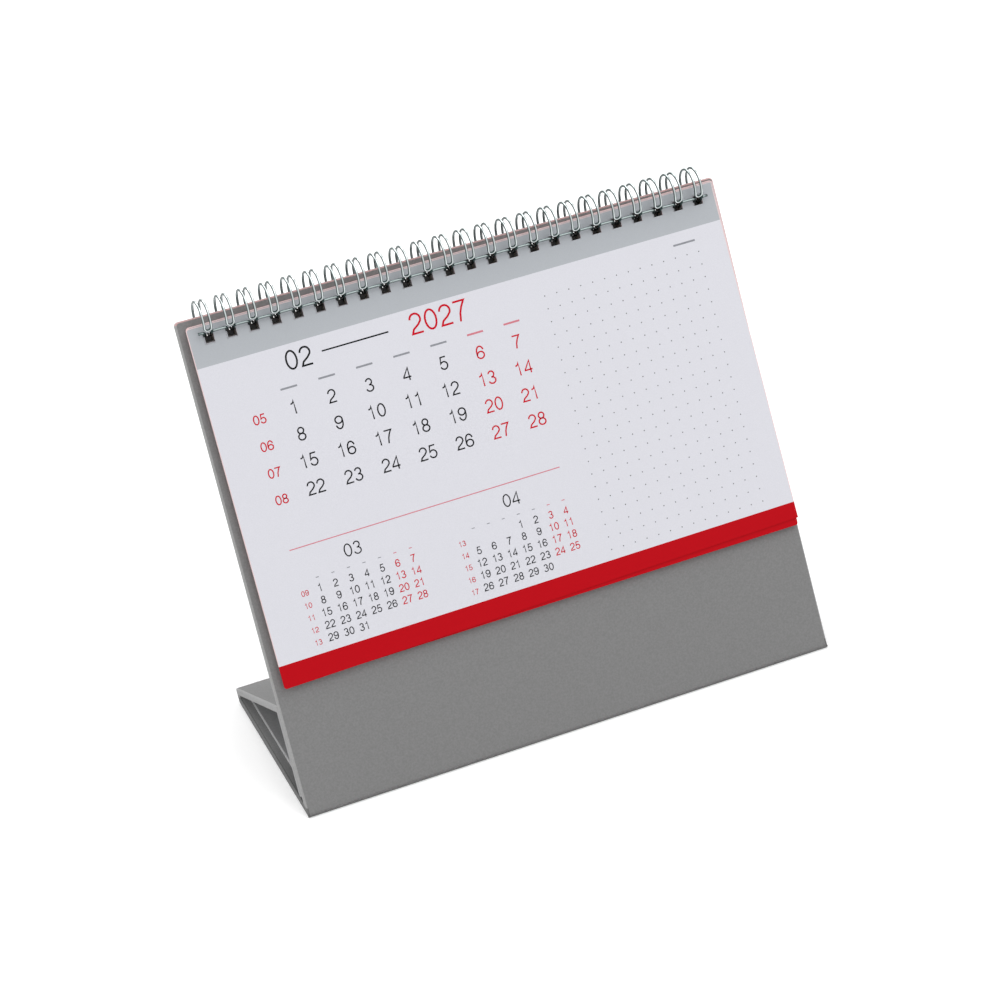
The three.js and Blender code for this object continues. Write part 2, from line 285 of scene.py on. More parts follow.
def covering_paper(name, colour, from_x=PAINTED_SHADE_FROM, below_z=PAINTED_SHADE_BELOW, factor=PAINTED_SHADE_FACTOR):
    """Paper with an embossed grain and painted light or shade at its ends. By default its lowest ends are
    darker, a painted shade.
    """
    material, shader = new_material(name, colour, roughness=0.82, gloss=0.25)
    grain = noise(material, GRAINS_PER_METRE, detail=6)
    ramp = mottle(material, shader, grain, scaled(colour, GRAIN_DARK), scaled(colour, GRAIN_LIGHT))
    bump(material, shader, grain, GRAIN_HEIGHT, strength=0.3)
    toned_ends(material, shader, ramp, from_x, below_z, factor)
    return material


COVER_GREY = srgb(133, 133, 133)
# Paler copies of the grey are painted light: a painted highlight on the folds and painted light on the end
# faces.
PAINTED_FOLD_HIGHLIGHT = 1.5
PAINTED_END_LIGHT = 1.45
PAINTED_LINING_HIGHLIGHT = 2.2
LINING_GREY = srgb(150, 150, 151)
LINING_HIGHLIGHT_FROM = HALF_WIDTH - 4.1 * MM
cover_paper = covering_paper("covering_paper", COVER_GREY)
cover_painted_fold_highlight = covering_paper("covering_paper_at_folds", scaled(COVER_GREY, PAINTED_FOLD_HIGHLIGHT))
cover_painted_end_light = covering_paper("covering_paper_at_ends", scaled(COVER_GREY, PAINTED_END_LIGHT))
# The rosy copy is a painted highlight on the folds, with a painted reflection of the pad's pink edges.
rosy_painted_highlight = covering_paper("covering_paper_at_rosy_folds", srgb(196, 162, 161))
# The lining is painted lighter near its ends by this factor, a painted highlight along its edge.
lining_paper = covering_paper("lining_paper", LINING_GREY, LINING_HIGHLIGHT_FROM, PANEL_HEIGHT, PAINTED_LINING_HIGHLIGHT)
lining_edge = covering_paper("lining_cut_edge", srgb(245, 245, 245))
back_paper = covering_paper("back_lining_paper", srgb(140, 140, 141))

# %% [markdown]
# ### Greyboard
# The boards are raw recycled greyboard: a warm grey with darker flecks. They show only inside the punched
# holes.

# %% Greyboard
GREYBOARD = srgb(163, 156, 144)
FLECKS_PER_METRE = 900
FLECK_STRETCH = (1, 3, 3)
FLECK_HEIGHT = 0.2 * MM
FLECK_DARK = 0.7
FLECK_LIGHT = 1.1
greyboard, greyboard_shader = new_material("greyboard", GREYBOARD, roughness=0.95)
flecks = noise(greyboard, FLECKS_PER_METRE, detail=8, stretch=FLECK_STRETCH)
fleck_tones = scaled(GREYBOARD, FLECK_DARK), scaled(GREYBOARD, FLECK_LIGHT)
mottle(greyboard, greyboard_shader, flecks, *fleck_tones)
bump(greyboard, greyboard_shader, flecks, FLECK_HEIGHT, strength=0.5)

# %% [markdown]
# ### Printed paper
# A sheet is coated white paper printed with two flat bands, grey at the top and red at the bottom. Each
# print takes its colour from one base tone, and the paper's own fine tooth shows through all of them.

# %% Printed paper
TEETH_PER_METRE = 2600
TOOTH_HEIGHT = 0.03 * MM


def printed_paper(name, colour, roughness=0.55, depth=0.02):
    material, shader = new_material(name, colour, roughness, gloss=0.12)
    tooth = noise(material, TEETH_PER_METRE, detail=3)
    mottle(material, shader, tooth, scaled(colour, 1 - depth), scaled(colour, 1 + depth))
    bump(material, shader, tooth, TOOTH_HEIGHT, strength=0.15)
    return material


field_paper = printed_paper("white_paper", srgb(226, 226, 233))
header_print = printed_paper("grey_band", srgb(185, 189, 194))
band_print = printed_paper("red_band", srgb(191, 0, 18))
paper_edge = printed_paper("cut_paper_edge", srgb(228, 192, 190), roughness=0.8, depth=0.08)
paper_rim = printed_paper("paper_rim", srgb(240, 216, 216), roughness=0.6, depth=0.04)
black_ink = printed_paper("black_ink", srgb(22, 23, 26), roughness=0.5, depth=0.1)
red_ink = printed_paper("red_ink", srgb(205, 14, 38), roughness=0.5, depth=0.05)
pale_red_ink = printed_paper("pale_red_ink", srgb(216, 130, 142), roughness=0.5, depth=0.05)
grey_ink = printed_paper("grey_ink", srgb(58, 60, 66), roughness=0.5, depth=0.1)
heading_ink = printed_paper("heading_ink", srgb(150, 152, 158), roughness=0.5, depth=0.1)

# %% [markdown]
# ### Silver wire
# The binding is steel wire with a silver lacquer: a metal that is bright but not a mirror. The bright line
# where the wire faces out from its ring is a painted highlight, and the dark flanks on both sides of it are
# painted dark reflections. The mesh carries that tone as an attribute, from 0 on the flanks to 1 on the
# outward side, and a colour ramp turns it into these painted colours. It is a drawn tone, fixed to the
# wire, and is darker where the wire passes its holes: painted shade.

# %% Silver wire
# The ramp's colours are painted light: a painted highlight, a middle tone and the painted dark reflections of
# the flanks.
PAINTED_HIGHLIGHT_SILVER = srgb(238, 242, 242)
PAINTED_MIDDLE_SILVER = srgb(140, 152, 152)
PAINTED_DARK_FLANK_SILVER = srgb(52, 66, 65)
DARK_UP_TO = 0.55
MIDDLE_AT = 0.86
DRAW_LINES_PER_METRE = 1800
DRAW_LINE_DEPTH = 0.02 * MM
silver_wire, wire_shader = new_material("silver_wire", PAINTED_HIGHLIGHT_SILVER, roughness=0.3)
wire_shader.inputs["Metallic"].default_value = 1.0
tone = silver_wire.node_tree.nodes.new("ShaderNodeAttribute")
tone.attribute_name = "tone"
painted_gleam_ramp = mottle(
    silver_wire, wire_shader, tone.outputs["Fac"], PAINTED_DARK_FLANK_SILVER, PAINTED_HIGHLIGHT_SILVER, low=DARK_UP_TO, high=1.0
)
silver_stop = painted_gleam_ramp.color_ramp.elements.new(MIDDLE_AT)
silver_stop.color = (*PAINTED_MIDDLE_SILVER, 1)
drawing = noise(silver_wire, DRAW_LINES_PER_METRE, detail=2)
bump(silver_wire, wire_shader, drawing, DRAW_LINE_DEPTH, strength=0.2)

# %% [markdown]
# ## The wrapped easel
# A bookbinder makes such an easel flat: boards are pasted on one sheet of covering paper, which is folded
# over every edge, and the row of boards is then folded up and glued. Seen from the end it is four thin
# strips: panel, base, ledge and the flap glued behind the panel. That end view is drawn first, as one
# face bent round like a C, and drawn out along the calendar by one extrusion. Bevels round the folds, and
# the parts that lie under the linings are cut away, so what is left is the covering paper alone.

# %% The end view of the easel
def end_view():
    """The outline of the folded boards in depth and height: down the front, round the foot and up inside."""
    ledge_low = LEDGE_HEIGHT - WRAP
    flap_back = FLAP_FRONT + WRAP
    flap_foot = height_at(flap_back, WRAP + FLAP_GAP)
    tunnel_end = REAR_DEPTH - TUNNEL_STOP
    return [
        (0, PANEL_HEIGHT),
        (0, 0),
        (REAR_DEPTH, BASE_DEPTH * math.sin(LEAN)),
        (REAR_DEPTH, LEDGE_HEIGHT),
        (FLAP_FRONT, LEDGE_HEIGHT),
        (FLAP_FRONT, flap_foot),
        (flap_back, flap_foot),
        (flap_back, ledge_low),
        (tunnel_end, ledge_low),
        (tunnel_end, height_at(tunnel_end, WRAP)),
        (WRAP, height_at(WRAP, WRAP)),
        (WRAP, PANEL_HEIGHT),
    ]


def drawn_out(outline):
    """The end view as one face at the left end, extruded to the right end."""
    bm = bmesh.new()
    bm.faces.new([bm.verts.new((-HALF_WIDTH, depth, height)) for depth, height in outline])
    extruded(bm, (2 * HALF_WIDTH, 0, 0))
    return bm


# %% Rounding the folds
FLAT = 0
FOLD = 1
ROSY = 2
END = 3
CORNER_RADIUS = 1.5 * MM
FOLD_RADIUS = 1.1 * MM
FOOT_RADIUS = 0.7 * MM
END_RADIUS = 0.5 * MM
SHARP = math.radians(30)


def sharp_edges(bm):
    return [
        edge for edge in bm.edges
        if edge.is_manifold and edge.is_convex and edge.calc_face_angle() > SHARP
    ]


def runs_along(edge):
    """Whether the edge runs from end to end of the calendar."""
    return abs(edge.verts[0].co.x - edge.verts[1].co.x) > HALF_WIDTH


def rounded(bm, edges, radius, material, segments):
    made = bmesh.ops.bevel(
        bm, geom=edges, offset=radius, segments=segments, profile=0.5, affect="EDGES", material=material
    )
    print("rounded", len(edges), "edges with", len(made["faces"]), "faces")


easel = drawn_out(end_view())
foot = [
    edge for edge in sharp_edges(easel)
    if runs_along(edge) and edge.verts[0].co.length < HALF_WIDTH + TOUCH
]
rounded(easel, foot, FOOT_RADIUS, FLAT, segments=3)
low_folds = [
    edge for edge in sharp_edges(easel)
    if runs_along(edge) and FOLD_RADIUS < edge.verts[0].co.z < PANEL_HEIGHT - MM
]
rounded(easel, low_folds, FOLD_RADIUS, FOLD, segments=4)
top_corners = [
    edge for edge in sharp_edges(easel)
    if not runs_along(edge) and min(vert.co.z for vert in edge.verts) > PANEL_HEIGHT - MM
]
rounded(easel, top_corners, CORNER_RADIUS, FOLD, segments=5)
rounded(easel, sharp_edges(easel), END_RADIUS, FOLD, segments=3)

# %% [markdown]
# ### Cutting by planes
# A bisecting plane splits only the faces it is given. A hole or a window is cut by four such planes, and
# the faces between them are deleted. That is how a die works too: it shears the paper along straight
# lines.

# %% Cutting by planes
SPLIT_REACH = 1e-7


def lies_at(face, depth):
    return all(abs(vert.co.y - depth) < TOUCH for vert in face.verts)


def split(bm, faces, point, normal):
    faces = set(faces)
    edges = {edge for face in faces for edge in face.edges}
    verts = {vert for face in faces for vert in face.verts}
    bmesh.ops.bisect_plane(
        bm, geom=list(verts) + list(edges) + list(faces), dist=SPLIT_REACH, plane_co=point, plane_no=normal
    )


def punch(bm, depth, low, high, windows):
    """Cuts a row of openings through the faces at one depth, each from its left to its right side."""
    for height in (low, high):
        split(bm, [face for face in bm.faces if lies_at(face, depth)], (0, 0, height), (0, 0, 1))
    for side in [side for window in windows for side in window]:
        row = [face for face in bm.faces if lies_at(face, depth) and low < face.calc_center_median().z < high]
        split(bm, row, (side, 0, 0), (1, 0, 0))
    punched = []
    for face in bm.faces:
        centre = face.calc_center_median()
        if lies_at(face, depth) and low < centre.z < high:
            if any(left < centre.x < right for left, right in windows):
                punched.append(face)
    bmesh.ops.delete(bm, geom=punched, context="FACES")
    return len(punched)


def punch_row(bm, depth):
    """Punches the row of square holes for the binding."""
    windows = [(loop_x(loop) - HOLE / 2, loop_x(loop) + HOLE / 2) for loop in range(LOOPS)]
    return punch(bm, depth, HOLE_HEIGHT - HOLE / 2, HOLE_HEIGHT + HOLE / 2, windows)


print("holes in the front:", punch_row(easel, 0), "and in the back:", punch_row(easel, WRAP))


# %% What lies under the linings
def inner_faces(bm):
    """The long inner faces, where the covering paper is only folded in and the lining covers its end."""
    found = []
    for face in bm.faces:
        centre = face.calc_center_median()
        normal = face.normal
        if abs(normal.x) > SIDEWAYS:
            continue
        world = LEANING @ centre
        behind_panel = abs(centre.y - WRAP) < TOUCH
        over_base = abs(world.z - WRAP) < TOUCH
        under_ledge = abs(centre.z - (LEDGE_HEIGHT - WRAP)) < TOUCH and centre.y > FLAP_FRONT
        behind_flap = abs(centre.y - FLAP_FRONT - WRAP) < TOUCH
        if behind_panel or over_base or under_ledge or behind_flap:
            found.append(face)
    return found


def cut_windows(bm):
    inside = HALF_WIDTH - TURN_IN
    for side in (-1, 1):
        split(bm, inner_faces(bm), (side * inside, 0, 0), (1, 0, 0))
    back = [face for face in bm.faces if lies_at(face, WRAP)]
    split(bm, back, (0, 0, PANEL_HEIGHT - TURN_IN), (0, 0, 1))
    hidden = []
    for face in inner_faces(bm):
        centre = face.calc_center_median()
        top_turn_in = lies_at(face, WRAP) and centre.z > PANEL_HEIGHT - TURN_IN
        if abs(centre.x) < inside and not top_turn_in:
            hidden.append(face)
    bmesh.ops.delete(bm, geom=hidden, context="FACES")
    return len(hidden)


print("faces cut away under the linings:", cut_windows(easel))

# %% The covering paper as a piece
FACES_OUT = 0.99
ROSY_FROM = 52 * MM

right_folds = [
    face for face in easel.faces
    if face.material_index == FOLD and face.calc_center_median().x > HALF_WIDTH - MM
]
split(easel, right_folds, (0, 0, ROSY_FROM), (0, 0, 1))
# End faces get the painted end light and folds the painted fold highlight. Front folds along the top and up
# the right side get the rosy painted highlight.
for face in easel.faces:
    face.smooth = True
    centre = face.calc_center_median()
    if abs(face.normal.x) > FACES_OUT:
        face.material_index = END
    elif face.material_index == FOLD:
        on_top = centre.z > PANEL_HEIGHT - MM
        on_right = centre.x > HALF_WIDTH - MM and centre.z > ROSY_FROM and centre.y < WRAP
        in_front = centre.y < WRAP / 2
        face.material_index = ROSY if in_front and (on_top or on_right) else FOLD
COVER_FINISHES = [cover_paper, cover_painted_fold_highlight, rosy_painted_highlight, cover_painted_end_light]
cover = piece_from(easel, "covering", LEANING, COVER_FINISHES, "stand", ["cover_wrap"])
thickness = cover.modifiers.new("Paper", "SOLIDIFY")
thickness.thickness = SKIN
thickness.offset = -1
shading = cover.modifiers.new("Flat panels", "WEIGHTED_NORMAL")
shading.keep_sharp = True

# %% [markdown]
# ## Boards and linings
# The greyboards and the tunnel's lining already have their right shape in the frame. They stay as they
# are and get their finishes. The lining's cut end faces are near white, and its surface near the ends is
# painted lighter, a painted highlight along its edge.

# %% Finishes of the carried-over pieces
CUT_FACE = 0.9
FINISH = {
    "front_board": greyboard,
    "base_board": greyboard,
    "ledge_board": greyboard,
    "flap_board": greyboard,
    "tunnel_lining": lining_paper,
}
for node, finish in FINISH.items():
    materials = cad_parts[node].data.materials
    materials.clear()
    materials.append(finish)
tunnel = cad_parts["tunnel_lining"].data
tunnel.materials.append(lining_edge)
for face in tunnel.polygons:
    face.material_index = int(abs(face.normal.x) > CUT_FACE)
print("finished in place:", sorted(FINISH))

# %% [markdown]
# ### Back lining
# The paper behind the panel closes the punched holes but for two slits at each, one for each leg of the
# wire. It is cut like the sheets of the pad: one face, punched by planes, then given its thickness.

# %% Back lining
LINING_MARGIN = 3.5 * MM
LINING_FACE = 3 * MM
LINING_THICKNESS = 0.25 * MM
LINING_FOOT = height_at(FLAP_FRONT + WRAP, WRAP + FLAP_GAP)
SLIT = 1.15 * MM
SLIT_MIDDLE = 179.1 * MM
SLIT_HEIGHT = 1.25 * MM


def back_lining():
    bm = bmesh.new()
    half = HALF_WIDTH - LINING_MARGIN
    top = PANEL_HEIGHT - LINING_MARGIN
    corners = [(-half, LINING_FOOT), (half, LINING_FOOT), (half, top), (-half, top)]
    bm.faces.new([bm.verts.new((x, LINING_FACE, z)) for x, z in corners])
    legs = [loop_x(loop) + side * HALF_LEG for loop in range(LOOPS) for side in (-1, 1)]
    slits = [(leg - SLIT / 2, leg + SLIT / 2) for leg in legs]
    punch(bm, LINING_FACE, SLIT_MIDDLE - SLIT_HEIGHT / 2, SLIT_MIDDLE + SLIT_HEIGHT / 2, slits)
    extruded(bm, (0, LINING_THICKNESS, 0))
    return bm


piece_from(
    back_lining(), "back_lining_paper", LEANING, [back_paper], "stand", ["back_lining"]
)

# %% [markdown]
# ## The sheets
# A sheet starts as one face. Its corners are rounded by a bevel of its four vertices, its bands and holes
# are cut by planes, and one extrusion gives it its thickness. The sheets are jogged against each other by
# fractions of a millimetre, as loose leaves are, so that their edges show. They were not trimmed quite
# square either: the front one is shorter at its lower right corner and a little wider below, and the
# others stand a little higher at the upper right.

# %% A sheet
FIELD = 0
HEADER = 1
BAND = 2
EDGE = 3
RIM = 4
RIM_WIDTH = 0.3 * MM
FRONT_OUT_RIGHT = 0.6 * MM
FRONT_OUT_LEFT = 0.5 * MM
FRONT_SHORT = 2.2 * MM
REAR_RISE = 0.9 * MM


def sheet_mesh(back, front_sheet):
    """One punched sheet whose rear face lies at this depth."""
    bm = bmesh.new()
    left = SHEET_OFFSET - SHEET_WIDTH / 2
    right = left + SHEET_WIDTH
    low = SHEET_TOP - SHEET_HEIGHT
    if front_sheet:
        lower = [(left - FRONT_OUT_LEFT, low), (right + FRONT_OUT_RIGHT, low + FRONT_SHORT)]
        corners = lower + [(right, SHEET_TOP), (left, SHEET_TOP)]
    else:
        corners = [(left, low), (right, low), (right, SHEET_TOP + REAR_RISE), (left, SHEET_TOP)]
    bm.faces.new([bm.verts.new((x, back, z)) for x, z in corners])
    rounded_corners = [vert for vert in bm.verts if not (front_sheet and vert.co.x > right)]
    bmesh.ops.bevel(
        bm, geom=rounded_corners, offset=SHEET_CORNER, segments=6, profile=0.5, affect="VERTICES", material=-1
    )
    for height in (BAND_HIGH, HEADER_LOW):
        split(bm, bm.faces[:], (0, 0, height), (0, 0, 1))
    punch_row(bm, back)
    rim = bmesh.ops.inset_region(bm, faces=bm.faces[:], thickness=RIM_WIDTH, use_boundary=True)
    for face in rim["faces"]:
        centre = face.calc_center_median()
        from_side = min(centre.x - left, right - centre.x)
        from_end = min(centre.z - low, SHEET_TOP - centre.z)
        if min(from_side, from_end) < 2 * RIM_WIDTH or max(from_side, from_end) < SHEET_CORNER:
            face.material_index = RIM
    extruded(bm, (0, -SHEET_THICKNESS, 0))
    for face in bm.faces:
        height = face.calc_center_median().z
        if abs(face.normal.y) < SIDEWAYS:
            face.material_index = EDGE if height > BAND_HIGH else BAND
        elif face.material_index == RIM and height > BAND_HIGH:
            continue
        elif face.normal.y > 0:
            face.material_index = FIELD
        elif height > HEADER_LOW:
            face.material_index = HEADER
        elif height < BAND_HIGH:
            face.material_index = BAND
    return bm


# %% The pad of sheets
GLUE_GAP = 0.1 * MM
JOG_TURN = math.radians(0.22)
JOG_WANDER = math.radians(0.05)
JOG_SHIFT = 0.5 * MM
JOG_SLIP = 0.12 * MM
TURN_BEAT = 2.3
SLIP_BEAT = 1.7
PRINTS = [field_paper, header_print, band_print, paper_edge, paper_rim]

for order, node in enumerate(MONTHS):
    behind = len(MONTHS) - 1 - order
    jogged = min(order, 1)
    back = -GLUE_GAP - behind * SHEET_STEP - (1 - jogged) * FRONT_GAP
    turn = PAD_TURN - jogged * (JOG_TURN + JOG_WANDER * math.sin(TURN_BEAT * order))
    shift = jogged * (JOG_SHIFT + JOG_SLIP * math.sin(SLIP_BEAT * order))
    month = node.replace("_sheet", "")
    leaf = sheet_mesh(back, order == 0)
    piece_from(leaf, month + "_leaf", pad_frame(turn, shift), PRINTS, month, [node])

# %% [markdown]
# ## The print
# The front sheet carries plain numbers: the dates of a month of 28 days that begins on a Monday, week
# numbers, and two small months below. Its light sans-serif digits are drawn with strokes of one width
# along lines and arcs, each scaled to its height in millimetres and set at its place, as a compositor
# sets type. Headings are kept to plain rules. All numbers of one ink are one piece, a film two hundredths
# of a millimetre thick.

# %% The shapes of the digits
DIGIT_WIDTH = 0.56
DIGIT_STRETCH = 1.15
DIGIT_SPACE = 0.1
STROKE = 0.092
TEXT_STROKE = 0.104
SMALL_STROKE = 0.125
ARC_STEP = math.radians(20)


def arc(x, y, wide, tall, start, end):
    """Points along an ellipse, from one angle to another in degrees."""
    start, end = math.radians(start), math.radians(end)
    steps = max(2, math.ceil(abs(end - start) / ARC_STEP))
    angles = [start + (end - start) * step / steps for step in range(steps + 1)]
    return [(x + wide * math.cos(angle), y + tall * math.sin(angle)) for angle in angles]


LOOP_OF_SIX = arc(0.28, 0.3, 0.235, 0.257, 180, -180)
BACK_OF_SIX = [(0.045, 0.3)] + arc(0.285, 0.52, 0.24, 0.435, 180, 20)
DIGITS = {
    "0": [arc(0.28, 0.5, 0.235, 0.457, 90, -270)],
    "1": [[(0.1, 0.76), (0.2, 0.78), (0.28, 0.85), (0.315, 0.99), (0.33, 0.0)]],
    "2": [
        arc(0.28, 0.69, 0.225, 0.265, 175, -25)
        + [(0.36, 0.42), (0.13, 0.24), (0.05, 0.044), (0.52, 0.044)]
    ],
    "3": [arc(0.27, 0.73, 0.19, 0.225, 165, -95), arc(0.27, 0.275, 0.23, 0.235, 95, -170)],
    "4": [[(0.41, 0.0), (0.41, 0.93), (0.04, 0.3), (0.04, 0.25), (0.54, 0.25)]],
    "5": [[(0.48, 0.95), (0.14, 0.95), (0.075, 0.48)] + arc(0.275, 0.32, 0.235, 0.28, 130, -165)],
    "6": [LOOP_OF_SIX, BACK_OF_SIX],
    "7": [[(0.04, 0.95), (0.52, 0.95), (0.36, 0.66), (0.26, 0.38), (0.2, 0.0)]],
    "8": [arc(0.28, 0.735, 0.19, 0.22, 90, -270), arc(0.28, 0.28, 0.23, 0.237, 90, -270)],
    "9": [[(DIGIT_WIDTH - x, 1 - y) for x, y in path] for path in (LOOP_OF_SIX, BACK_OF_SIX)],
}
print("digits drawn:", len(DIGITS))


# %% Setting type
PAPER_FRONT = -GLUE_GAP - (len(MONTHS) - 1) * SHEET_STEP - FRONT_GAP - SHEET_THICKNESS
INK_LIFT = 0.004 * MM
INK_BACK = PAPER_FRONT - INK_LIFT
DOT_SIDES = 8
CLOSING_GAP = 1e-6
SHARPEST_MITRE = 0.5
INK_FILM = 0.02 * MM


def stroke_sides(path, half):
    """The two edges of a stroke along a path, with its corners mitred."""
    closed = math.dist(path[0], path[-1]) < CLOSING_GAP
    sides = []
    for index, (x, y) in enumerate(path):
        before = path[index - 1] if index else (path[-2] if closed else None)
        after = path[index + 1] if index < len(path) - 1 else (path[1] if closed else None)
        normals = []
        for (x0, y0), (x1, y1) in ((before or (x, y), (x, y)), ((x, y), after or (x, y))):
            length = math.hypot(x1 - x0, y1 - y0)
            if length:
                normals.append((-(y1 - y0) / length, (x1 - x0) / length))
        across = sum(normal[0] for normal in normals), sum(normal[1] for normal in normals)
        length = math.hypot(*across)
        across = across[0] / length, across[1] / length
        reach = half / max(SHARPEST_MITRE, across[0] * normals[0][0] + across[1] * normals[0][1])
        aside = across[0] * reach, across[1] * reach
        sides.append(((x + aside[0], y + aside[1]), (x - aside[0], y - aside[1])))
    return sides


class Ink:
    """Everything printed in one ink, drawn in the pad's upright frame."""

    def __init__(self, name, material):
        self.name = name
        self.material = material
        self.bm = bmesh.new()

    def number(self, label, x, height, tall, stroke=STROKE):
        label = str(label)
        advance = DIGIT_WIDTH * DIGIT_STRETCH + DIGIT_SPACE
        left = x - tall * (len(label) * advance - DIGIT_SPACE) / 2
        low = height - tall / 2
        for place, digit in enumerate(label):
            for path in DIGITS[digit]:
                stretched = [(u * DIGIT_STRETCH, v) for u, v in path]
                verts = []
                for side in stroke_sides(stretched, stroke / 2):
                    spots = [(left + tall * (u + place * advance), low + tall * v) for u, v in side]
                    verts.append([self.bm.verts.new((along, INK_BACK, up)) for along, up in spots])
                for (a, b), (c, d) in zip(verts, verts[1:]):
                    self.bm.faces.new((a, b, d, c))

    def rule(self, left, right, height, thick):
        corners = [(left, -1), (right, -1), (right, 1), (left, 1)]
        self.bm.faces.new([
            self.bm.verts.new((x, INK_BACK, height + side * thick / 2)) for x, side in corners
        ])

    def dot(self, x, height, radius):
        place = Matrix.Translation((x, INK_BACK, height)) @ Matrix.Rotation(math.pi / 2, 4, "X")
        bmesh.ops.create_circle(self.bm, cap_ends=True, segments=DOT_SIDES, radius=radius, matrix=place)

    def printed(self):
        bmesh.ops.remove_doubles(self.bm, verts=self.bm.verts[:], dist=SAME_SPOT)
        extruded(self.bm, (0, -INK_FILM, 0))
        piece_from(self.bm, self.name, pad_frame(PAD_TURN), [self.material], "february")


# %% The month that shows
COLUMNS = 7
WORKING_DAYS = 5
DAY_LEFT = -73.4 * MM
DAY_PITCH = 14.64 * MM
DAY_TOP = 146.4 * MM
WEEK_PITCH = 9.98 * MM
DAY_TALL = 5.0 * MM
HEADING_HEIGHT = 153.7 * MM
HEADING_HALF = 3.2 * MM
HEADING_THICK = 0.7 * MM
WEEK_COLUMN = -86.9 * MM
WEEK_TALL = 3.5 * MM
WEEK_DROP = 0.8 * MM
FIRST_WEEK = 5
DAYS = 28

black = Ink("february_black_print", black_ink)
red = Ink("february_red_print", red_ink)
grey = Ink("february_grey_print", grey_ink)
headings = Ink("february_headings", heading_ink)
pale_red = Ink("february_pale_red_print", pale_red_ink)


def ink_of(column):
    return black if column < WORKING_DAYS else red


def heading_of(column):
    return headings if column < WORKING_DAYS else pale_red


for day in range(DAYS):
    week, column = divmod(day, COLUMNS)
    middle = DAY_LEFT + column * DAY_PITCH
    ink_of(column).number(day + 1, middle, DAY_TOP - week * WEEK_PITCH, DAY_TALL, TEXT_STROKE)
for week in range(DAYS // COLUMNS):
    label = f"{FIRST_WEEK + week:02d}"
    red.number(label, WEEK_COLUMN, DAY_TOP - WEEK_DROP - week * WEEK_PITCH, WEEK_TALL, SMALL_STROKE)
for column in range(COLUMNS):
    middle = DAY_LEFT + column * DAY_PITCH
    heading_of(column).rule(middle - HEADING_HALF, middle + HEADING_HALF, HEADING_HEIGHT, HEADING_THICK)

# %% Month number, rule and year
TITLE_HEIGHT = 163.0 * MM
TITLE_TALL = 7.3 * MM
YEAR_TALL = 7.9 * MM
YEAR_RISE = 0.2 * MM
TITLE_MIDDLE = -67 * MM
TITLE_RULE = (-58 * MM, -32 * MM)
TITLE_RULE_THICK = 0.55 * MM
YEAR_MIDDLE = -12.3 * MM
black.number("02", TITLE_MIDDLE, TITLE_HEIGHT, TITLE_TALL)
black.rule(*TITLE_RULE, TITLE_HEIGHT, TITLE_RULE_THICK)
red.number("2027", YEAR_MIDDLE, TITLE_HEIGHT + YEAR_RISE, YEAR_TALL)

# %% The two small months
SMALL_PITCH = 6.08 * MM
SMALL_ROW = 4.64 * MM
SMALL_TOP = 81.0 * MM
SMALL_TALL = 2.8 * MM
SMALL_WEEK_TALL = 2.0 * MM
SMALL_HEADING = 84.9 * MM
SMALL_TITLE = 91.0 * MM
SMALL_TITLE_TALL = 4.9 * MM
SMALL_WEEK_DROP = 0.5 * MM
SMALL_HEADING_HALF = 0.6 * MM
SMALL_HEADING_THICK = 0.3 * MM


def small_month(title, days, first_column, first_week, left, title_place, week_place):
    black.number(title, title_place, SMALL_TITLE, SMALL_TITLE_TALL)
    last_week = (first_column + days - 1) // COLUMNS
    for day in range(days):
        week, column = divmod(first_column + day, COLUMNS)
        middle = left + column * SMALL_PITCH
        ink_of(column).number(day + 1, middle, SMALL_TOP - week * SMALL_ROW, SMALL_TALL, SMALL_STROKE)
    for week in range(last_week + 1):
        label = f"{first_week + week:02d}"
        height = SMALL_TOP - SMALL_WEEK_DROP - week * SMALL_ROW
        red.number(label, week_place, height, SMALL_WEEK_TALL, SMALL_STROKE)
    for column in range(COLUMNS):
        middle = left + column * SMALL_PITCH
        ends = middle - SMALL_HEADING_HALF, middle + SMALL_HEADING_HALF
        heading_of(column).rule(*ends, SMALL_HEADING, SMALL_HEADING_THICK)


small_month(
    "03", days=31, first_column=0, first_week=9,
    left=-82 * MM, title_place=-66.5 * MM, week_place=-88 * MM,
)
small_month(
    "04", days=30, first_column=3, first_week=13,
    left=-20.4 * MM, title_place=-3.3 * MM, week_place=-26 * MM,
)

# %% Divider and note field
NOTE_RIGHT = 93.4 * MM
NOTE_TOP = 159.65 * MM
NOTE_PITCH = 4.905 * MM
NOTE_COLUMNS = 14
NOTE_ROWS = 21
DOT_RADIUS = 0.22 * MM
NOTE_RULE = (84 * MM, 93 * MM)
NOTE_RULE_HEIGHT = 164.2 * MM
DIVIDER = (-89.3 * MM, 18.1 * MM)
DIVIDER_HEIGHT = 97.1 * MM
DIVIDER_THICK = 0.35 * MM

pale_red.rule(*DIVIDER, DIVIDER_HEIGHT, DIVIDER_THICK)
headings.rule(*NOTE_RULE, NOTE_RULE_HEIGHT, HEADING_THICK)
for column in range(NOTE_COLUMNS):
    for row in range(NOTE_ROWS):
        grey.dot(NOTE_RIGHT - column * NOTE_PITCH, NOTE_TOP - row * NOTE_PITCH, DOT_RADIUS)
for ink in (black, red, grey, headings, pale_red):
    ink.printed()

# %% [markdown]
# ## The wire binding
# The binding is one wire bent to and fro in flat loops, which are then rolled into rings. So its path is
# drawn flat, as a coordinate along the spine and a way round the ring, and then rolled up. A curve with a
# round bevel gives it its thickness.

